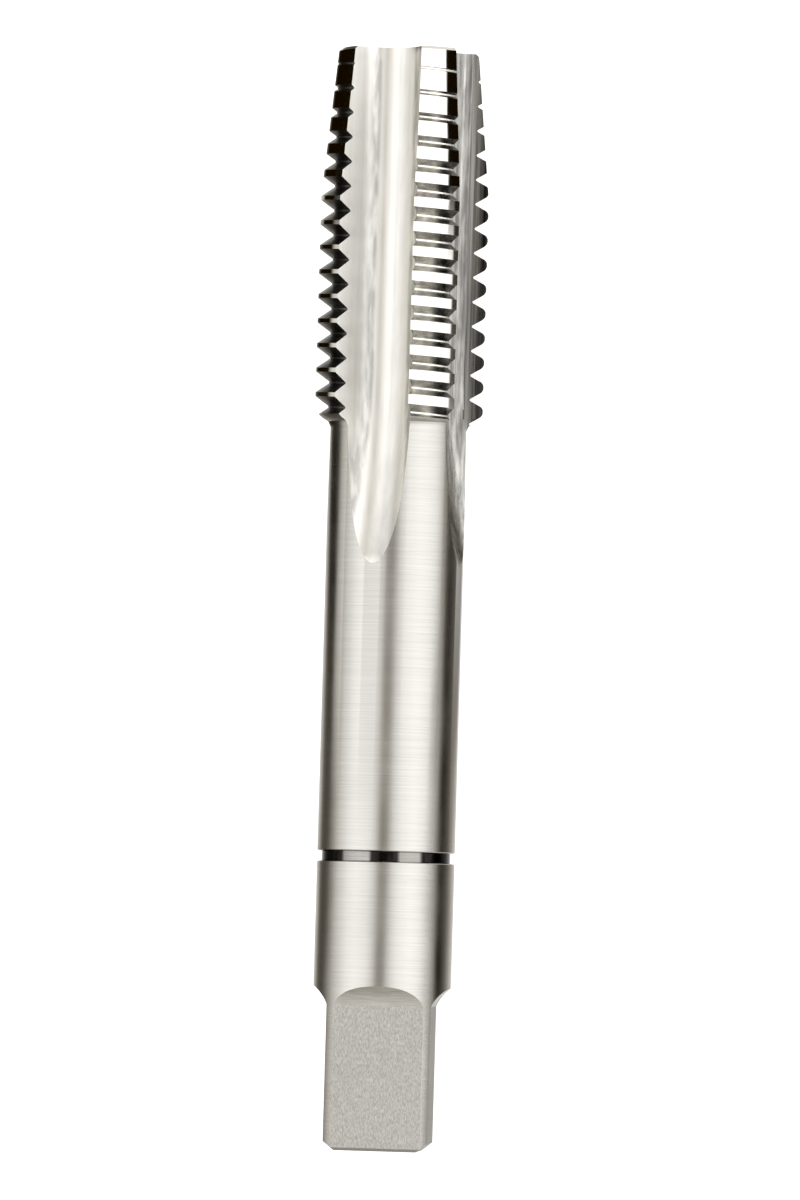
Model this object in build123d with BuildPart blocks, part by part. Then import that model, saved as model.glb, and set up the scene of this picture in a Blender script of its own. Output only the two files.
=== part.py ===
from build123d import *
from math import acos, asin, ceil, cos, degrees, radians, sin, tan
import os

# Hand tap for an M18 x 2.5 left-hand thread, the roughing tap of its set: one ground bar of tool steel.
# It lies on its side on two of its four lands, with its axis along Y: the cutting end points to +Y and
# the driving square to -Y. The origin is below the middle of the tap, at the level it lies on.
# Stations are places along the axis, measured from the face of the square end. All sizes are in mm.

# Overall form
overall_length = 112.0
shank_diameter = 14.0

# Threaded part
thread_length = 38.65           # from the cutting end to the foot of the neck
crest_diameter = 17.2
root_diameter = 14.6
pitch = 2.5
flank_angle = 30.0              # each flank, against a square cut
root_flat = 0.15
thread_phase = -0.86            # from the foot of the neck to the groove's first turn, along the top
gap_overrun = 8.0               # degrees that each groove is cut past a land's edges
neck_angle = 45.0               # slope of the neck, from the shank up to the crests

# Tapered lead at the cutting end
lead_length = 15.0
tip_diameter = 14.5
tip_edge = 0.3                  # bevel round the cutting end

# Flutes, ground by a formed wheel that runs out in the shank
flute_count = 4
core_diameter = 7.6
flute_radius = 3.6
heel_wall_angle = 36.8          # flare of the wall behind each land, against the flute's middle plane
flute_apex_station = 59.45      # where the run-out meets the surface of the shank
wheel_radius = 65.0

# Ring groove in the shank
ring_station = 29.8
ring_width = 1.1
ring_floor_width = 0.9
ring_depth = 0.47

# Driving square
square_side_count = 4
square_across_flats = 10.6
square_length = 14.75
square_runout_radius = 4.15     # hollow that the cutter leaves between a flat and the shank
square_runout_angle = 23.5      # slope of the hollow where it leaves the flat
square_turn = 18.25             # turn of the first flat about the axis, from facing up
tail_bevel_lengths = (0.3, 0.9) # on alternate sides of the square
tail_bevel_angle = 52.0         # slope of the end bevels

# Centre holes in both ends
centre_angle = 60.0
centre_mouth_diameter = 4.2
centre_pilot_diameter = 1.6
centre_depth = 5.0

# Room for cutting shapes to reach past the surface
overcut = 1.0

# Derived sizes
shank_radius = shank_diameter / 2
crest_radius = crest_diameter / 2
root_radius = root_diameter / 2
core_radius = core_diameter / 2
tip_radius = tip_diameter / 2
flat_radius = square_across_flats / 2
thread_station = overall_length - thread_length
neck_length = (crest_radius - shank_radius) / tan(radians(neck_angle))
flute_centre = core_radius + flute_radius           # axis to the centre of the flute's round bottom

# Where a flute opens at the crests, each side of the plane through its round bottom: the cutting face
# ends at the cutting edge of one land, and the flaring wall ends at the heel of the next.
cutting_edge_angle = degrees(asin(flute_radius / crest_radius))
heel_edge_angle = heel_wall_angle + degrees(
    asin((flute_radius - flute_centre * sin(radians(heel_wall_angle))) / crest_radius)
)

# The lowest flute opens straight down, and the tap rests on the crests at its two edges.
flute_turn = (heel_edge_angle - cutting_edge_angle) / 2
flute_opening = cutting_edge_angle + heel_edge_angle
land_width = 360 / flute_count - flute_opening
first_heel = 360 / flute_count - flute_opening / 2
axis_height = crest_radius * cos(radians(flute_opening / 2))

# The wheel runs out along an arc, from the flute's full depth up to the surface of the shank.
wheel_height = core_radius + wheel_radius
wheel_arc = degrees(acos((wheel_height - shank_radius) / wheel_radius))
wheel_station = flute_apex_station + wheel_radius * sin(radians(wheel_arc))

along = Vector(0, 1, 0)
tail_point = Vector(0, -overall_length / 2, axis_height)
tap_axis = Axis(tail_point, along)


def outwards(turn):
    """Direction away from the axis, turned about it from straight up."""
    return Vector(sin(radians(turn)), 0, cos(radians(turn)))


def lengthwise_plane(turn):
    """Plane through the axis: x is the station, y the distance from the axis."""
    return Plane(origin=tail_point, x_dir=along, z_dir=along.cross(outwards(turn)))


def cross_plane(station, turn):
    """Plane square to the axis, facing the cutting end: x points outwards."""
    return Plane(origin=tail_point + along * station, x_dir=outwards(turn), z_dir=along)


# One turn of the thread groove where it crosses a land, about Z, starting from X
with BuildPart() as tooth_gap:
    gap_arc = land_width + 2 * gap_overrun
    gap_depth = crest_radius - root_radius + overcut / 2
    gap_mouth = root_flat + 2 * gap_depth * tan(radians(flank_angle))
    with BuildLine() as gap_line:
        Helix(pitch, pitch * gap_arc / 360, root_radius, lefthand=True)
    gap_start = Plane(origin=gap_line.line @ 0, x_dir=(1, 0, 0), z_dir=gap_line.line % 0)
    with BuildSketch(gap_start) as gap_section:
        with BuildLine():
            Polyline(
                (0, -root_flat / 2),
                (gap_depth, -gap_mouth / 2),
                (gap_depth, gap_mouth / 2),
                (0, root_flat / 2),
                close=True,
            )
        make_face()
    sweep(gap_section.sketch, path=gap_line.line, is_frenet=True)

# The groove falls by one pitch in a turn, from land to land, as it goes round from the top towards +X.
gap_places = [
    cross_plane(thread_station + thread_phase + (row - start / 360) * pitch, start)
    for start in [first_heel + gap_overrun + land * 360 / flute_count for land in range(flute_count)]
    for row in range(ceil(thread_length / pitch) + 2)
]

with BuildPart() as thread_tap:
    # Turned blank: shank, neck, crests and tapered lead
    with BuildSketch(lengthwise_plane(0)):
        with BuildLine():
            Polyline(
                (0, 0),
                (0, shank_radius),
                (thread_station, shank_radius),
                (thread_station + neck_length, crest_radius),
                (overall_length - lead_length, crest_radius),
                (overall_length - tip_edge, tip_radius),
                (overall_length, tip_radius - tip_edge),
                (overall_length, 0),
                close=True,
            )
        make_face()
    revolve(axis=tap_axis)

    # Ring groove in the shank
    with BuildSketch(lengthwise_plane(0)):
        with BuildLine():
            Polyline(
                (ring_station - ring_floor_width / 2, shank_radius - ring_depth),
                (ring_station + ring_floor_width / 2, shank_radius - ring_depth),
                (ring_station + ring_width / 2, shank_radius),
                (ring_station + ring_width / 2, shank_radius + overcut),
                (ring_station - ring_width / 2, shank_radius + overcut),
                (ring_station - ring_width / 2, shank_radius),
                close=True,
            )
        make_face()
    revolve(axis=tap_axis, mode=Mode.SUBTRACT)

    # Driving square: four flats, bevelled at the end, that rise into the shank along a hollow
    for number in range(square_side_count):
        turn = square_turn + number * 360 / square_side_count
        bevel = tail_bevel_lengths[number % 2]
        bevel_foot = flat_radius - (bevel + overcut) * tan(radians(tail_bevel_angle))
        with BuildSketch(lengthwise_plane(turn)):
            with BuildLine():
                flat = Line((bevel, flat_radius), (square_length, flat_radius))
                rise = Vector(1, 0).rotate(Axis.Z, square_runout_angle)
                runout = JernArc(flat @ 1, rise, square_runout_radius, 75 - square_runout_angle)
                Polyline(runout @ 1, (-overcut, (runout @ 1).Y), (-overcut, bevel_foot), flat @ 0)
            make_face()
        extrude(amount=shank_radius, both=True, mode=Mode.SUBTRACT)

    # Centre holes that the tap is ground and guided on
    with Locations(Plane(origin=tail_point, z_dir=-along), cross_plane(overall_length, 0)):
        CounterSinkHole(
            centre_pilot_diameter / 2,
            centre_mouth_diameter / 2,
            centre_depth,
            counter_sink_angle=centre_angle,
        )

    # Flutes: a round cutting face and a flaring heel wall, run out into the shank by the wheel
    flute_reach = crest_radius + overcut
    for number in range(flute_count):
        turn = flute_turn + number * 360 / flute_count
        flute_plane = cross_plane(wheel_station, turn)
        with BuildSketch(flute_plane) as flute_section:
            with BuildLine():
                face = CenterArc((flute_centre, 0), flute_radius, 90, 180 - heel_wall_angle)
                heel_wall = PolarLine(
                    face @ 1,
                    flute_reach - (face @ 1).X,
                    -heel_wall_angle,
                    length_mode=LengthMode.HORIZONTAL,
                )
                Polyline(heel_wall @ 1, (flute_reach, flute_radius), face @ 0)
            make_face()
        extrude(flute_section.sketch, amount=overall_length - wheel_station + overcut, mode=Mode.SUBTRACT)
        wheel_axis = Axis(flute_plane.origin + outwards(turn) * wheel_height, outwards(turn - 90))
        revolve(flute_section.sketch, axis=wheel_axis, revolution_arc=2 * wheel_arc, mode=Mode.SUBTRACT)

    # Thread: the groove's turns, cut across each land
    with Locations(*gap_places):
        add(tooth_gap.part, mode=Mode.SUBTRACT)

thread_tap.part.label = "thread_tap"

os.makedirs("parts", exist_ok=True)
export_step(thread_tap.part, "parts/thread_tap.step")
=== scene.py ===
from math import acos, asin, atan2, cos, degrees, hypot, pi, radians, sin, tan
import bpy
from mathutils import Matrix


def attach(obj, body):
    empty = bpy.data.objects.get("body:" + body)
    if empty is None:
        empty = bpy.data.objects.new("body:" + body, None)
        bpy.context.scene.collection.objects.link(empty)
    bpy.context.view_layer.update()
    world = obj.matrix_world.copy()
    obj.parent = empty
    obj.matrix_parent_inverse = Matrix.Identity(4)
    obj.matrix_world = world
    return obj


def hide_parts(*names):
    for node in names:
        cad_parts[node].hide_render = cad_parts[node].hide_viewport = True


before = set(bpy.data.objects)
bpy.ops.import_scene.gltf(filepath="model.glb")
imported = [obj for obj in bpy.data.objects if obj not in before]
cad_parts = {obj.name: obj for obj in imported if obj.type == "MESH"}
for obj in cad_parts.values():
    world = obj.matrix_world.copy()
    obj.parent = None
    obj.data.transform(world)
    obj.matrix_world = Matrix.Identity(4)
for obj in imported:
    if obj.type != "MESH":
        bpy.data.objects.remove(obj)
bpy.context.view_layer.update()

from types import SimpleNamespace

import bpy
from mathutils import Matrix, Vector

# Hand tap for an M18 x 2.5 left-hand thread. Its axis lies along Y, with the cutting end towards
# +Y. Stations are places along the axis, measured from the face of the square end. Turns are
# angles about the axis, from straight up towards +X.

# ---------------------------------------------------------------- sizes, in metres
MM = 0.001
LENGTH = 112 * MM
SHANK_R = 7.0 * MM

# Thread
CREST_R = 8.6 * MM
ROOT_R = 7.3 * MM
PITCH = 2.5 * MM
FLANK = radians(30)
ROOT_FLAT = 0.15 * MM
THREAD_STATION = LENGTH - 38.65 * MM
THREAD_PHASE = -0.86 * MM
THREAD_TURNS = 18

# Neck: how far past the foot of the thread, and how far above the shank
NECK_RISE = ((0.55 * MM, 0.25 * MM), (0.85 * MM, 0.75 * MM))

# Tapered lead
LEAD_LENGTH = 15 * MM
TIP_R = 7.25 * MM
TIP_EDGE = 0.3 * MM

# Flutes, and the wheel that grinds them
FLUTES = 4
CORE_R = 3.8 * MM
FLUTE_R = 3.6 * MM
HEEL_WALL = radians(36.8)
FLUTE_APEX = 59.45 * MM
WHEEL_R = 65 * MM

# Ring groove
RING_STATION = 29.8 * MM
RING_WIDTH = 1.1 * MM
RING_FLOOR = 0.9 * MM
RING_DEPTH = 0.47 * MM
RING_LIP = 0.07 * MM

# Driving square
SQUARE_SIDES = 4
FLAT_R = 5.3 * MM
SQUARE_LENGTH = 14.75 * MM
SQUARE_RUNOUT_R = 4.15 * MM
SQUARE_RUNOUT = radians(23.5)       # slope of the hollow where it leaves the flat
SQUARE_RUNOUT_END = radians(75)     # slope of the hollow past the shank
SQUARE_TURN = radians(18.25)
TAIL_BEVELS = (0.3 * MM, 0.9 * MM)
TAIL_BEVEL_SLOPE = radians(52)

# Centre holes
CENTRE_MOUTH_R = 2.1 * MM
CENTRE_PILOT_R = 0.8 * MM
CENTRE_DEPTH = 5 * MM
CENTRE_SLOPE = radians(30)

PAST = 1.0 * MM                     # how far cutting shapes reach past the surface
TOUCHING = 1e-7                     # corners closer than this are one

# Derived sizes
FLUTE_CENTRE = CORE_R + FLUTE_R
CUT_EDGE = asin(FLUTE_R / CREST_R)
HEEL_EDGE = HEEL_WALL + asin((FLUTE_R - FLUTE_CENTRE * sin(HEEL_WALL)) / CREST_R)
FLUTE_TURN = (HEEL_EDGE - CUT_EDGE) / 2
AXIS_HEIGHT = CREST_R * cos((CUT_EDGE + HEEL_EDGE) / 2)
NECK_LENGTH = CREST_R - SHANK_R
TAIL = Vector((0, -LENGTH / 2, AXIS_HEIGHT))

# Teeth: rounded by this outline, as radii and the slopes that lead up to them
TOOTH_CORNER = (
    (CREST_R - 0.27 * MM, radians(30)),
    (CREST_R - 0.16 * MM, radians(42)),
    (CREST_R - 0.07 * MM, radians(55)),
    (CREST_R + 0.07 * MM, radians(68)),
)
# The land up and to the right is crisp, and its teeth widen a little above a height over the root.
CRISP_LAND = radians(48)
CRISP_REACH = radians(40)
CRISP_HEIGHT = 1.03 * MM
CRISP_WIDENING = 0.27
# The land up and to the left is ground to points.
POINTED_LAND = radians(-42)
POINTED_REACH = radians(35)
POINTED_SIDE = radians(36.5)
REACH_FADE = radians(15)            # turn over which one kind of tooth gives way to the next

# Fineness of the round shapes
ROUND = 240                         # sides of the turned surfaces
THREAD_STEPS = 96                   # in one turn of the groove
FLUTE_STEPS = 32                    # round the flute's bottom
WHEEL_STEPS = 40                    # along the wheel's arc
RUNOUT_STEPS = 16                   # up the square's hollow


# ---------------------------------------------------------------- modelling helpers
def select_only(piece):
    bpy.ops.object.select_all(action="DESELECT")
    bpy.context.view_layer.objects.active = piece
    piece.select_set(True)


def edit_all(piece):
    """Opens a piece for editing, with all of it selected."""
    select_only(piece)
    bpy.ops.object.mode_set(mode="EDIT")
    bpy.ops.mesh.select_all(action="SELECT")


def leave_edit():
    bpy.ops.object.mode_set(mode="OBJECT")


def extrude(move):
    bpy.ops.mesh.extrude_region_move(TRANSFORM_OT_translate={"value": move})


def outwards(turn):
    """Direction away from the tap's axis."""
    return Vector((sin(turn), 0, cos(turn)))


def on_plane(turn, station, out, side=0.0):
    """A point of the tap, by its distance from the axis at a turn and sideways from there."""
    return TAIL + Vector((0, station, 0)) + outwards(turn) * out + outwards(turn + pi / 2) * side


def profile_face(name, points):
    """One face through the given points, made from a primitive with that many corners."""
    bpy.ops.mesh.primitive_circle_add(vertices=len(points), fill_type="NGON")
    piece = bpy.context.object
    piece.name = name
    for corner, point in zip(piece.data.vertices, points):
        corner.co = point
    return piece


def closed(piece):
    """Closes the ends, merges doubles and points the faces outwards."""
    edit_all(piece)
    bpy.ops.mesh.remove_doubles(threshold=TOUCHING)
    bpy.ops.mesh.select_all(action="SELECT")
    bpy.ops.mesh.fill_holes(sides=0)
    bpy.ops.mesh.select_all(action="SELECT")
    bpy.ops.mesh.normals_make_consistent(inside=False)
    leave_edit()
    return piece


def apply_modifier(piece, kind, **settings):
    modifier = piece.modifiers.new(kind.title(), kind)
    for name, value in settings.items():
        setattr(modifier, name, value)
    select_only(piece)
    bpy.ops.object.modifier_apply(modifier=modifier.name)


def cut(piece, cutters):
    """Takes the cutters' space out of the piece. The new faces keep each cutter's material."""
    tray = bpy.data.collections.new("cutters")
    for cutter in cutters:
        tray.objects.link(cutter)
    apply_modifier(
        piece,
        "BOOLEAN",
        operation="DIFFERENCE",
        solver="EXACT",
        operand_type="COLLECTION",
        collection=tray,
        material_mode="TRANSFER",
    )
    for cutter in cutters:
        bpy.data.meshes.remove(cutter.data)
    bpy.data.collections.remove(tray)


def turned(name, outline):
    """A closed solid turned about the tap's axis, from (station, radius) points."""
    station, radius = outline[0]
    bpy.ops.mesh.primitive_circle_add(
        vertices=ROUND,
        radius=radius,
        fill_type="NGON",
        location=on_plane(0, station, 0),
        rotation=(pi / 2, 0, 0),
    )
    piece = bpy.context.object
    piece.name = name
    bpy.ops.object.transform_apply()
    edit_all(piece)
    for (here, before), (there, after) in zip(outline, outline[1:]):
        extrude((0, there - here, 0))
        ratio = after / before
        bpy.ops.transform.resize(value=(ratio, 1, ratio), center_override=on_plane(0, there, 0))
    leave_edit()
    return closed(piece)


# ---------------------------------------------------------------- the tap's shapes
def turned_blank():
    """Shank, ring groove, neck, crests and tapered lead, as the lathe and grinder leave them."""
    ring_groove = [
        (RING_STATION - RING_WIDTH / 2 - RING_LIP, SHANK_R),
        (RING_STATION - RING_WIDTH / 2, SHANK_R - RING_LIP),
        (RING_STATION - RING_FLOOR / 2, SHANK_R - RING_DEPTH),
        (RING_STATION + RING_FLOOR / 2, SHANK_R - RING_DEPTH),
        (RING_STATION + RING_WIDTH / 2, SHANK_R - RING_LIP),
        (RING_STATION + RING_WIDTH / 2 + RING_LIP, SHANK_R),
    ]
    neck = [(THREAD_STATION + along, SHANK_R + rise) for along, rise in NECK_RISE]
    return turned(
        "hand_tap",
        [
            (0, SHANK_R),
            *ring_groove,
            (THREAD_STATION, SHANK_R),
            *neck,
            (THREAD_STATION + NECK_LENGTH, CREST_R),
            (LENGTH - LEAD_LENGTH, CREST_R),
            (LENGTH - TIP_EDGE, TIP_R),
            (LENGTH, TIP_R - TIP_EDGE),
        ],
    )


def centre_hole(station, inward):
    """Cutter for the centre hole in an end face. Inward is the sign of the way into the tap."""
    cone_depth = (CENTRE_MOUTH_R - CENTRE_PILOT_R) / tan(CENTRE_SLOPE)
    outline = [
        (-PAST, CENTRE_MOUTH_R + PAST * tan(CENTRE_SLOPE)),
        (cone_depth, CENTRE_PILOT_R),
        (CENTRE_DEPTH, CENTRE_PILOT_R),
    ]
    return turned("centre_hole", [(station + inward * depth, radius) for depth, radius in outline])


def near(turn, land, reach):
    """One within reach of a land's middle, fading to nothing past it."""
    return 1 - min(1, max(0, (abs(turn - land) - reach) / REACH_FADE))


def shape_teeth(groove, start):
    """Moves the groove's sides, to leave crisp teeth on one land and pointed teeth on another."""
    for corner in groove.data.vertices:
        place = corner.co - TAIL
        turn = atan2(place.x, place.z)
        height = hypot(place.x, place.z) - ROOT_R
        turns_along = (place.y - start + PITCH * turn / (2 * pi)) / PITCH
        offset = (turns_along - round(turns_along)) * PITCH
        rounded = abs(offset)
        crisp = ROOT_FLAT / 2 + height * tan(FLANK) - max(0, height - CRISP_HEIGHT) * CRISP_WIDENING
        pointed = ROOT_FLAT / 2 + height * tan(POINTED_SIDE)
        change = near(turn, CRISP_LAND, CRISP_REACH) * (crisp - rounded)
        change += near(turn, POINTED_LAND, POINTED_REACH) * (pointed - rounded)
        corner.co.y += change * (1 if offset > 0 else -1)


def thread_groove():
    """Cutter for the whole left-hand groove, whose section is screwed about the axis."""
    start = THREAD_STATION + THREAD_PHASE + (THREAD_TURNS - 1) * PITCH
    side = [(ROOT_FLAT / 2, ROOT_R)]
    for radius, slope in TOOTH_CORNER:
        along, before = side[-1]
        side.append((along + (radius - before) * tan(slope), radius))
    section = [(-along, out) for along, out in side] + side[::-1]
    height = Vector((0, 0, AXIS_HEIGHT))
    points = [on_plane(0, start + along, out) - height for along, out in section]
    groove = profile_face("thread_groove", points)
    groove.location = height
    apply_modifier(
        groove,
        "SCREW",
        axis="Y",
        angle=2 * pi,
        screw_offset=-PITCH,
        iterations=THREAD_TURNS,
        steps=THREAD_STEPS,
        render_steps=THREAD_STEPS,
        use_merge_vertices=False,
    )
    bpy.ops.object.transform_apply()
    shape_teeth(groove, start)
    return closed(groove)


def flute(turn):
    """Cutter for one flute: the wheel's form, drawn along the tap and up its arc into the shank."""
    wheel_height = CORE_R + WHEEL_R
    wheel_arc = acos((wheel_height - SHANK_R) / WHEEL_R)
    wheel_station = FLUTE_APEX + WHEEL_R * sin(wheel_arc)
    reach = CREST_R + PAST
    angles = [pi / 2 + (pi - HEEL_WALL) * step / FLUTE_STEPS for step in range(FLUTE_STEPS + 1)]
    section = [(FLUTE_CENTRE + FLUTE_R * cos(angle), FLUTE_R * sin(angle)) for angle in angles]
    heel_out, heel_side = section[-1]
    section.append((reach, heel_side - (reach - heel_out) * tan(HEEL_WALL)))
    section.append((reach, FLUTE_R))
    points = [on_plane(turn, LENGTH + PAST, out, side) for out, side in section]
    cutter = profile_face("flute", points)
    edit_all(cutter)
    extrude((0, wheel_station - (LENGTH + PAST), 0))
    for _ in range(WHEEL_STEPS):
        extrude((0, -WHEEL_R * 2 * wheel_arc / WHEEL_STEPS, 0))
    leave_edit()
    up = outwards(turn)
    for corner in cutter.data.vertices:
        past_wheel = wheel_station - (corner.co - TAIL).y
        if past_wheel > TOUCHING:
            angle = past_wheel / WHEEL_R
            swing = wheel_height - (corner.co - TAIL).dot(up)
            corner.co += up * swing * (1 - cos(angle))
            corner.co.y = TAIL.y + wheel_station - swing * sin(angle)
    return closed(cutter)


def square_side(turn, bevel):
    """Cutter for one flat of the driving square, with its end bevel and the hollow it rises in."""
    rise = []
    for step in range(RUNOUT_STEPS + 1):
        slope = SQUARE_RUNOUT + (SQUARE_RUNOUT_END - SQUARE_RUNOUT) * step / RUNOUT_STEPS
        along = SQUARE_RUNOUT_R * (sin(slope) - sin(SQUARE_RUNOUT))
        up = SQUARE_RUNOUT_R * (cos(SQUARE_RUNOUT) - cos(slope))
        rise.append((SQUARE_LENGTH + along, FLAT_R + up))
    foot = FLAT_R - (bevel + PAST) * tan(TAIL_BEVEL_SLOPE)
    section = [(-PAST, foot), (bevel, FLAT_R), *rise, (-PAST, rise[-1][1])]
    half_width = SHANK_R + PAST
    points = [on_plane(turn, station, out, -half_width) for station, out in section]
    cutter = profile_face("square_side", points)
    edit_all(cutter)
    extrude(outwards(turn + pi / 2) * 2 * half_width)
    leave_edit()
    return closed(cutter)


# ---------------------------------------------------------------- the tap, cut and finished
def finished(piece, material):
    """Gives a shape its finish before it is used."""
    piece.data.materials.clear()
    piece.data.materials.append(material)
    return piece


def cut_tap(finish):
    """The turned blank with its flutes, thread, square and centre holes cut into it."""
    tap = finished(turned_blank(), finish["shank"])
    cutters = [
        finished(centre_hole(0, 1), finish["ends"]),
        finished(centre_hole(LENGTH, -1), finish["ends"]),
        finished(thread_groove(), finish["flanks"]),
    ]
    for number in range(SQUARE_SIDES):
        side = square_side(SQUARE_TURN + number * 2 * pi / SQUARE_SIDES, TAIL_BEVELS[number % 2])
        cutters.append(finished(side, finish["square"]))
    for number in range(FLUTES):
        # The first flute keeps the bright flute finish; the other three get a darker copy of it,
        # which is painted shade.
        kind = "flutes" if number == 0 else "flutes with painted shade"
        cutters.append(finished(flute(FLUTE_TURN + number * 2 * pi / FLUTES), finish[kind]))
    cut(tap, cutters)
    return tap


def refinish(tap, material, chosen):
    """Gives another finish to the faces that a test of their finish and place picks."""
    tap.data.materials.append(material)
    for face in tap.data.polygons:
        place = face.center - TAIL
        turn = atan2(place.x, place.z)
        facts = SimpleNamespace(
            finish=tap.data.materials[face.material_index].name,
            station=place.y,
            radius=hypot(place.x, place.z),
            turn=turn,
            endwise=abs(face.normal.y),
            round_way=face.normal.dot(outwards(turn + pi / 2)),
        )
        if chosen(facts):
            face.material_index = len(tap.data.materials) - 1


def refinish_parts(tap, finish):
    """Sets off the surfaces that are ground, worn or turned apart from the ones round them."""
    turned_name = finish["shank"].name
    milled_name = finish["square"].name
    flank_name = finish["flanks"].name
    face_name = finish["cutting faces"].name
    fluted_names = (finish["flutes"].name, finish["flutes with painted shade"].name)
    crests_start = THREAD_STATION + NECK_LENGTH - 0.05 * MM
    roots_top = ROOT_R + 0.03 * MM
    pointed_half_width = radians(30)
    faces_start = THREAD_STATION + 0.8 * MM
    faces_foot = CREST_R - 2.0 * MM
    edges_foot = CREST_R - 0.85 * MM
    end_depth = 0.01 * MM
    squarely = 0.99
    refinish(
        tap,
        finish["crests"],
        lambda face: face.finish == turned_name and face.station > crests_start,
    )
    refinish(
        tap,
        finish["roots"],
        lambda face: face.finish == flank_name
        and face.radius < roots_top
        and abs(face.turn - POINTED_LAND) > pointed_half_width,
    )
    refinish(
        tap,
        finish["dark flanks"],
        lambda face: face.finish == flank_name
        and abs(face.turn - POINTED_LAND) < pointed_half_width,
    )
    refinish(
        tap,
        finish["cutting faces"],
        lambda face: face.finish in fluted_names
        and face.radius > faces_foot
        and face.station > faces_start
        and face.round_way < 0,
    )
    refinish(
        tap,
        finish["cutting edges"],
        lambda face: face.finish == face_name and face.radius > edges_foot,
    )
    refinish(
        tap,
        finish["ring"],
        lambda face: face.finish == turned_name
        and face.radius < SHANK_R - RING_LIP
        and abs(face.station - RING_STATION) < RING_WIDTH,
    )
    refinish(
        tap,
        finish["hollow"],
        lambda face: face.finish == milled_name and face.station > SQUARE_LENGTH,
    )
    refinish(
        tap,
        finish["ends"],
        lambda face: face.endwise > squarely
        and (face.station < end_depth or face.station > LENGTH - end_depth),
    )


# ---------------------------------------------------------------- finishes
STEEL_TINT = (0.034, 0.0102, -0.0476)   # how much more red, green and blue than grey
# Tone of the dark lengthwise bands: streaks in the flutes, and painted shade on the ring floor, the
# flank heels and one side of each flute.
STREAK_AND_PAINTED_SHADE_TONE = 0.015
STREAK_AND_PAINTED_SHADE_MOTTLE = (1400, 260, 1400)        # fineness of the mottling across X, Y and Z
MARK_DEPTH = 0.02 * MM


def feed(tree, socket, value):
    """Links another node's output into a socket, or sets its plain value."""
    if isinstance(value, bpy.types.NodeSocket):
        tree.links.new(value, socket)
    else:
        socket.default_value = value


def node(tree, kind, inputs=None, **settings):
    """Adds a node, with its settings and what its inputs hold or are fed by."""
    made = tree.nodes.new(kind)
    for name, value in settings.items():
        setattr(made, name, value)
    for name, value in (inputs or {}).items():
        feed(tree, made.inputs[name], value)
    return made


def mixed(tree, factor, low, high):
    """A colour between two, by a value from 0 to 1."""
    blend = node(tree, "ShaderNodeMix", data_type="RGBA")
    for number, value in ((0, factor), (6, low), (7, high)):
        feed(tree, blend.inputs[number], value)
    return blend.outputs[2]


def calculated(tree, operation, *values, **settings):
    """The result of one operation on plain values or other nodes' outputs."""
    inputs = dict(enumerate(values))
    return node(tree, "ShaderNodeMath", inputs, operation=operation, **settings).outputs[0]


def steel(shade):
    """A steel colour, a little warm."""
    return (*(shade * (1 + tint) for tint in STEEL_TINT), 1)


def grinding_group():
    """Fine scratches and a slow cloudiness, long in one direction and fine across it."""
    group = bpy.data.node_groups.new("grinding marks", "ShaderNodeTree")
    sockets = (
        ("Across", "INPUT", "NodeSocketVector"),
        ("Contrast", "INPUT", "NodeSocketFloat"),
        ("Lines", "OUTPUT", "NodeSocketFloat"),
        ("Cloud", "OUTPUT", "NodeSocketFloat"),
    )
    for name, side, kind in sockets:
        group.interface.new_socket(name, in_out=side, socket_type=kind)
    given = node(group, "NodeGroupInput").outputs
    place = node(group, "ShaderNodeTexCoord").outputs["Object"]
    stretched = node(
        group, "ShaderNodeVectorMath", {0: place, 1: given["Across"]}, operation="MULTIPLY"
    )
    fine = node(
        group,
        "ShaderNodeTexNoise",
        {"Vector": stretched.outputs[0], "Scale": 1.0, "Detail": 5.0, "Roughness": 0.62},
    )
    spread = calculated(group, "SUBTRACT", fine.outputs[0], 0.5)
    lines = calculated(group, "MULTIPLY_ADD", spread, given["Contrast"], 0.5, use_clamp=True)
    cloud = node(group, "ShaderNodeTexNoise", {"Vector": place, "Scale": 180.0, "Detail": 3.0})
    node(group, "NodeGroupOutput", {"Lines": lines, "Cloud": cloud.outputs[0]})
    return group


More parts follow.
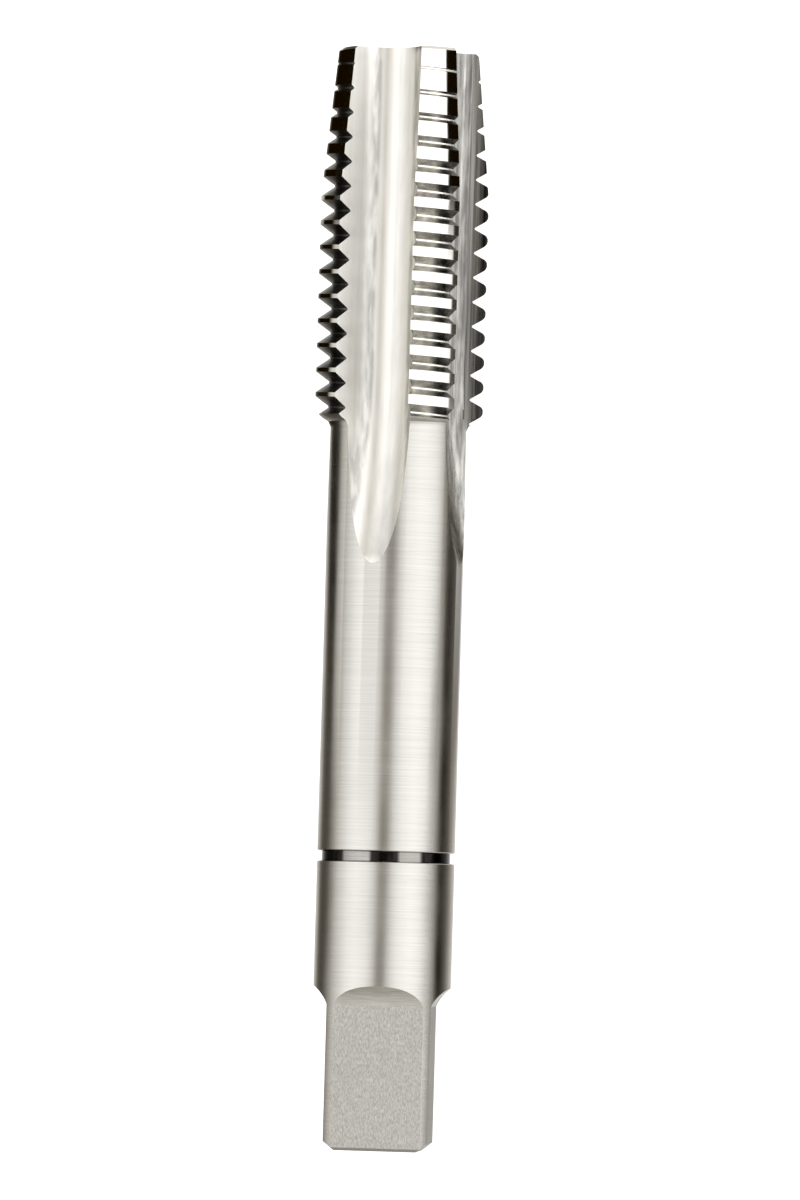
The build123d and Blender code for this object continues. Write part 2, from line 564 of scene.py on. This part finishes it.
def streak_and_painted_shade_group():
    """Mottled mask of dark bands that run along the tap at places about its axis, twice their reach
    apart; used for streaks in the flutes and for painted shade.
    """
    group = bpy.data.node_groups.new("lengthwise streaks and painted shade", "ShaderNodeTree")
    for name in ("Middle", "Half width", "Fade", "Reach", "Least"):
        group.interface.new_socket(name, in_out="INPUT", socket_type="NodeSocketFloat")
    group.interface.new_socket("Mask", in_out="OUTPUT", socket_type="NodeSocketFloat")
    given = node(group, "NodeGroupInput").outputs
    place = node(group, "ShaderNodeTexCoord").outputs["Object"]
    centred = node(
        group, "ShaderNodeVectorMath", {0: place, 1: (0, 0, AXIS_HEIGHT)}, operation="SUBTRACT"
    )
    parts = node(group, "ShaderNodeSeparateXYZ", {0: centred.outputs[0]}).outputs
    turn = calculated(group, "ARCTAN2", parts["X"], parts["Z"])
    from_middle = calculated(group, "SUBTRACT", turn, given["Middle"])
    before = calculated(group, "MULTIPLY", given["Reach"], -1.0)
    within = calculated(group, "WRAP", from_middle, given["Reach"], before)
    away = calculated(group, "ABSOLUTE", within)
    edge = calculated(group, "ADD", given["Half width"], given["Fade"])
    inside = node(
        group,
        "ShaderNodeMapRange",
        {
            "Value": away,
            "From Min": given["Half width"],
            "From Max": edge,
            "To Min": 1.0,
            "To Max": 0.0,
        },
        interpolation_type="SMOOTHSTEP",
    )
    stretched = node(
        group, "ShaderNodeVectorMath", {0: place, 1: STREAK_AND_PAINTED_SHADE_MOTTLE}, operation="MULTIPLY"
    )
    blotches = node(
        group,
        "ShaderNodeTexNoise",
        {"Vector": stretched.outputs[0], "Scale": 1.0, "Detail": 3.0},
    )
    mottled = node(
        group,
        "ShaderNodeMapRange",
        {
            "Value": blotches.outputs[0],
            "From Min": 0.32,
            "From Max": 0.6,
            "To Min": given["Least"],
            "To Max": 1.0,
        },
    )
    mask = calculated(group, "MULTIPLY", inside.outputs[0], mottled.outputs[0])
    node(group, "NodeGroupOutput", {"Mask": mask})
    return group


def streak_and_painted_shade(middle, half_width, fade, least, strength, reach=45):
    """One dark lengthwise band, used for streaks and for painted shade, with its angles about the
    axis in degrees, and least where it is thinnest.
    """
    where = {
        "Middle": radians(middle),
        "Half width": radians(half_width),
        "Fade": radians(fade),
        "Reach": radians(reach),
        "Least": least,
    }
    return where, strength


def ground_steel(groups, name, across, shades, rough, bump, contrast=3.0, streaks_and_painted_shade=()):
    """A steel finish whose grinding marks are fine along the directions where across is high."""
    finish = bpy.data.materials.new(name)
    finish.use_nodes = True
    tree = finish.node_tree
    tree.nodes.clear()
    marks = {"Across": across, "Contrast": contrast}
    grain = node(tree, "ShaderNodeGroup", marks, node_tree=groups["grinding"]).outputs
    tint = mixed(tree, grain["Lines"], steel(shades[0]), steel(shades[1]))
    # Each dark band is mixed in here: streaks in the flutes, and painted shade on the ring floor,
    # the flank heels and one side of each flute.
    for where, strength in streaks_and_painted_shade:
        mask = node(tree, "ShaderNodeGroup", where, node_tree=groups["streak_and_painted_shade"]).outputs["Mask"]
        share = calculated(tree, "MULTIPLY", mask, strength)
        tint = mixed(tree, share, tint, steel(STREAK_AND_PAINTED_SHADE_TONE))
    gloss = node(
        tree,
        "ShaderNodeMapRange",
        {
            "Value": grain["Cloud"],
            "From Min": 0.3,
            "From Max": 0.7,
            "To Min": rough[0],
            "To Max": rough[1],
        },
    )
    relief = node(
        tree, "ShaderNodeBump", {"Height": grain["Lines"], "Strength": bump, "Distance": MARK_DEPTH}
    )
    body = node(
        tree,
        "ShaderNodeBsdfPrincipled",
        {
            "Metallic": 1.0,
            "Base Color": tint,
            "Roughness": gloss.outputs[0],
            "Normal": relief.outputs[0],
        },
    )
    node(tree, "ShaderNodeOutputMaterial", {"Surface": body.outputs[0]})
    return finish


def finishes():
    """Every finish of the tap, by the surface that it is for."""
    flute_middle = degrees(FLUTE_TURN)
    # Along each flute: narrow mottled dark streaks 23 degrees before and 29 degrees past its
    # middle, and a wide band of painted shade 15 degrees past it that darkens that side of the
    # flute.
    flute_streaks_and_painted_shade = (
        streak_and_painted_shade(flute_middle - 23, half_width=1.5, fade=4.5, least=0.35, strength=0.5),
        streak_and_painted_shade(flute_middle + 15, half_width=8, fade=8, least=0.7, strength=0.2),
        streak_and_painted_shade(flute_middle + 29, half_width=1.5, fade=3.5, least=0.35, strength=0.6),
    )
    # Painted shade on the thread flanks near the heels, about 60 degrees round from straight up.
    heel_painted_shade = (streak_and_painted_shade(60, half_width=7, fade=7, least=0.35, strength=0.85),)
    # Painted shade on the ring groove's floor: nearly black at three places about the axis, so that
    # lighter patches stay between them.
    ring_painted_shade = (
        streak_and_painted_shade(-47, half_width=25, fade=5, least=0.9, strength=1.0, reach=180),
        streak_and_painted_shade(20.5, half_width=11, fade=4, least=0.9, strength=1.0, reach=180),
        streak_and_painted_shade(84, half_width=27, fade=5, least=0.9, strength=1.0, reach=180),
    )
    looks = {
        "shank": dict(
            name="ground shank",
            across=(120, 9500, 120),
            shades=(0.585, 0.67),
            rough=(0.18, 0.25),
            bump=0.05,
            contrast=2.6,
        ),
        "crests": dict(
            name="ground crests",
            across=(160, 9000, 160),
            shades=(0.86, 0.95),
            rough=(0.03, 0.05),
            bump=0.0,
        ),
        "ring": dict(
            name="ring groove floor",
            across=(160, 9000, 160),
            shades=(0.28, 0.42),
            rough=(0.05, 0.09),
            bump=0.02,
            streaks_and_painted_shade=ring_painted_shade,
        ),
        "ends": dict(
            name="turned ends",
            across=(3000, 3000, 3000),
            shades=(0.34, 0.44),
            rough=(0.3, 0.4),
            bump=0.3,
        ),
        "square": dict(
            name="milled square",
            across=(9500, 2900, 9500),
            shades=(0.46, 0.7),
            rough=(0.42, 0.5),
            bump=0.3,
            contrast=4.2,
        ),
        "hollow": dict(
            name="cutter run-out",
            across=(500, 9000, 500),
            shades=(0.62, 0.84),
            rough=(0.3, 0.4),
            bump=0.3,
        ),
        "flanks": dict(
            name="thread flanks",
            across=(700, 2500, 700),
            shades=(0.36, 0.8),
            rough=(0.16, 0.24),
            bump=0.2,
            streaks_and_painted_shade=heel_painted_shade,
        ),
        "dark flanks": dict(
            name="dark thread flanks",
            across=(700, 2500, 700),
            shades=(0.08, 0.3),
            rough=(0.2, 0.28),
            bump=0.2,
        ),
        "roots": dict(
            name="thread roots",
            across=(160, 9000, 160),
            shades=(0.9, 0.98),
            rough=(0.1, 0.14),
            bump=0.05,
        ),
        "flutes": dict(
            name="ground flutes",
            across=(2600, 30, 2600),
            shades=(0.9, 1.0),
            rough=(0.3, 0.38),
            bump=0.14,
            contrast=2.4,
            streaks_and_painted_shade=flute_streaks_and_painted_shade,
        ),
        # Darker copy of the flute finish for the three other flutes: painted shade.
        "flutes with painted shade": dict(
            name="flutes with painted shade",
            across=(3000, 60, 3000),
            shades=(0.36, 0.82),
            rough=(0.22, 0.32),
            bump=0.3,
            contrast=3.4,
            streaks_and_painted_shade=flute_streaks_and_painted_shade,
        ),
        "cutting faces": dict(
            name="ground cutting faces",
            across=(3400, 40, 3400),
            shades=(0.09, 0.44),
            rough=(0.24, 0.32),
            bump=0.25,
            contrast=3.6,
        ),
        "cutting edges": dict(
            name="ground cutting edges",
            across=(3400, 40, 3400),
            shades=(0.03, 0.24),
            rough=(0.24, 0.32),
            bump=0.25,
            contrast=4.0,
        ),
    }
    groups = {"grinding": grinding_group(), "streak_and_painted_shade": streak_and_painted_shade_group()}
    return {surface: ground_steel(groups, **look) for surface, look in looks.items()}


# ---------------------------------------------------------------- the room
CAMERA_TURN = radians(21.9)         # the camera stands over the tap, turned about its axis
CAMERA_TILT = radians(2.0)          # towards the square end
CAMERA_LEAN = radians(1.67)         # roll about its own line of sight
CAMERA_DISTANCE = 1.013
LENS = 298.6                        # focal length in millimetres, on a 36 mm sensor
AIM_RIGHT = 0.67 * MM               # from the middle of the tap to the middle of the view
AIM_DOWN = 0.022 * MM

# Brightness of the room in bands along the tap's axis: degrees about the axis from the camera, and
# level. Two long soft lights stand beside the camera with a darker gap between them, and dark cards
# stand low on both sides.
LIGHTS = (
    (-84, 0.95), (-66, 1.18), (-50, 1.22), (-30, 1.1), (-18, 0.88), (-9, 0.4), (0, 0.5),
    (10, 1.1), (22, 1.35), (44, 1.5),
)
LEFT_CARD = (
    (-180, 0.9), (-170, 0.5), (-160, 0.1), (-150, 0), (-116, 0), (-108, 0.6), (-98, 0.8),
)
MIDDLE_BANDS = (
    (-180, 0.95), (-165, 0.8), (-150, 0.5), (-140, 0.15), (-128, 0.08), (-112, 0.1),
    (-102, 0.25), (-94, 0.5), (-86, 0.8), (-76, 1.0), (-66, 1.3), (-50, 1.5), (-30, 1.35),
    (-18, 0.88), (-9, 0.12), (0, 0.18), (10, 0.85), (22, 1.25), (44, 1.5), (62, 1.4), (76, 1.2),
    (86, 0.75), (94, 0.3), (100, 0), (110, 0), (126, 0.15), (150, 0.6), (180, 0.95),
)
BESIDE_BANDS = (
    *LEFT_CARD, *LIGHTS,
    (62, 1.3), (70, 1.2), (73, 0.05), (100, 0), (130, 0), (150, 0.3), (180, 0.9),
)
BETWEEN_BANDS = (
    *LEFT_CARD, *LIGHTS,
    (62, 1.4), (76, 1.2), (86, 0.75), (94, 0.3), (100, 0), (110, 0), (180, 0.95),
)
CARDED_BANDS = (
    (-180, 0.9), (-160, 0.6), (-149, 0.4), (-142, 0), (-100, 0), (-94, 0.7), *LIGHTS,
    (61, 1.35), (64.5, 0), (84, 0), (88, 0.5), (97, 0.4), (130, 0.1), (150, 0.3), (180, 0.9),
)
END_BANDS = (
    (-180, 0.5), (-150, 0.1), (-60, 0.1), (-20, 0.6), (30, 0.7), (50, 0.8), (80, 0.8),
    (135, 0.8), (155, 0.2), (180, 0.5),
)
ROOM_STRENGTH = 2.0                     # the ramps hold each level divided by this
DARK_TINT = (0.12, 0.024, -0.144)       # how much more red, green and blue than grey, at level 0
LEAST_LIGHT = (0.003, 0.0015, 0)


def room_bands(tree, turn, bands):
    """A ramp of brightness stops by angle about the tap, a little warm where it is dark."""
    ramp = node(tree, "ShaderNodeValToRGB", {0: turn})
    stops = ramp.color_ramp.elements
    while len(stops) < len(bands):
        stops.new(0.5)
    for stop, (angle, level) in zip(stops, bands):
        stop.position = (angle + 180) / 360
        darkness = max(0, 1 - level)
        tinted = (level / ROOM_STRENGTH * (1 + darkness * tint) for tint in DARK_TINT)
        stop.color = (*(part + least for part, least in zip(tinted, LEAST_LIGHT)), 1)
    return ramp.outputs[0]


def light_tent():
    """Pale room with long soft lights and dark cards, whose bands change along the tap's axis."""
    world = bpy.data.worlds.new("light tent")
    bpy.context.scene.world = world
    world.use_nodes = True
    tree = world.node_tree
    tree.nodes.clear()
    way = node(tree, "ShaderNodeTexCoord").outputs["Generated"]
    turned_way = node(
        tree,
        "ShaderNodeVectorRotate",
        {"Vector": way, "Angle": -CAMERA_TURN},
        rotation_type="Y_AXIS",
    )
    parts = node(tree, "ShaderNodeSeparateXYZ", {0: turned_way.outputs[0]}).outputs
    around = calculated(tree, "ARCTAN2", parts["X"], parts["Z"])
    turn = calculated(tree, "MULTIPLY_ADD", around, 1 / (2 * pi), 0.5)
    towards_tip = parts["Y"]
    along = calculated(tree, "ABSOLUTE", towards_tip)
    middle, beside, between, carded, ends = (
        room_bands(tree, turn, bands)
        for bands in (MIDDLE_BANDS, BESIDE_BANDS, BETWEEN_BANDS, CARDED_BANDS, END_BANDS)
    )
    # As the way leans from square across the tap to along its axis, one set of bands blends into
    # the next between two amounts of lean.
    changes = (
        (along, 0.046, 0.056, beside),
        (towards_tip, 0.07, 0.074, carded),
        (along, 0.095, 0.1, between),
        (towards_tip, 0.165, 0.175, carded),
        (towards_tip, 0.3, 0.34, between),
        (along, 0.38, 0.75, ends),
    )
    room = middle
    for lean, low, high, bands in changes:
        share = node(
            tree,
            "ShaderNodeMapRange",
            {"Value": lean, "From Min": low, "From Max": high},
            interpolation_type="SMOOTHSTEP",
        )
        room = mixed(tree, share.outputs[0], room, bands)
    seen = node(tree, "ShaderNodeLightPath").outputs["Is Camera Ray"]
    shown = mixed(tree, seen, room, (0.5, 0.5, 0.5, 1))
    light = node(tree, "ShaderNodeBackground", {"Color": shown, "Strength": ROOM_STRENGTH})
    node(tree, "ShaderNodeOutputWorld", {"Surface": light.outputs[0]})


def pale_floor():
    """White floor, lit a little from within, that the steel doesn't reflect."""
    bpy.ops.mesh.primitive_plane_add(size=6, location=(0, 0, 0))
    floor = bpy.context.object
    floor.name = "floor"
    paint = bpy.data.materials.new("pale floor")
    paint.use_nodes = True
    surface = paint.node_tree.nodes["Principled BSDF"]
    surface.inputs["Base Color"].default_value = (0.92, 0.92, 0.92, 1)
    surface.inputs["Roughness"].default_value = 0.9
    surface.inputs["Specular IOR Level"].default_value = 0.0
    surface.inputs["Emission Color"].default_value = (1, 1, 1, 1)
    surface.inputs["Emission Strength"].default_value = 0.8
    floor.data.materials.append(paint)
    floor.visible_glossy = False


def camera():
    """Looks down on the tap, turned a little to one side, with the tip upwards."""
    lens = bpy.data.cameras.new("camera")
    stand = bpy.data.objects.new("camera", lens)
    bpy.context.scene.collection.objects.link(stand)
    lens.sensor_width = 36
    lens.lens = LENS
    lens.clip_start = 0.01
    lens.clip_end = 20
    back = Vector(
        (
            sin(CAMERA_TURN) * cos(CAMERA_TILT),
            -sin(CAMERA_TILT),
            cos(CAMERA_TURN) * cos(CAMERA_TILT),
        )
    )
    up = Vector((0, 1, 0))
    up = (up - back * up.dot(back)).normalized()
    right = up.cross(back)
    rolled_up = up * cos(CAMERA_LEAN) - right * sin(CAMERA_LEAN)
    rolled_right = right * cos(CAMERA_LEAN) + up * sin(CAMERA_LEAN)
    aim = Vector((0, 0, AXIS_HEIGHT)) + rolled_right * AIM_RIGHT - rolled_up * AIM_DOWN
    turn = Matrix((rolled_right, rolled_up, back)).transposed().to_4x4()
    stand.matrix_world = Matrix.Translation(aim + back * CAMERA_DISTANCE) @ turn
    bpy.context.scene.camera = stand


# ---------------------------------------------------------------- the scene
finish = finishes()
tap = cut_tap(finish)
refinish_parts(tap, finish)
select_only(tap)
bpy.ops.object.shade_smooth_by_angle(angle=radians(25))

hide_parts("thread_tap")
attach(tap, "root")

light_tent()
pale_floor()
camera()
bpy.context.scene.view_settings.view_transform = "Standard"

bpy.context.view_layer.update()
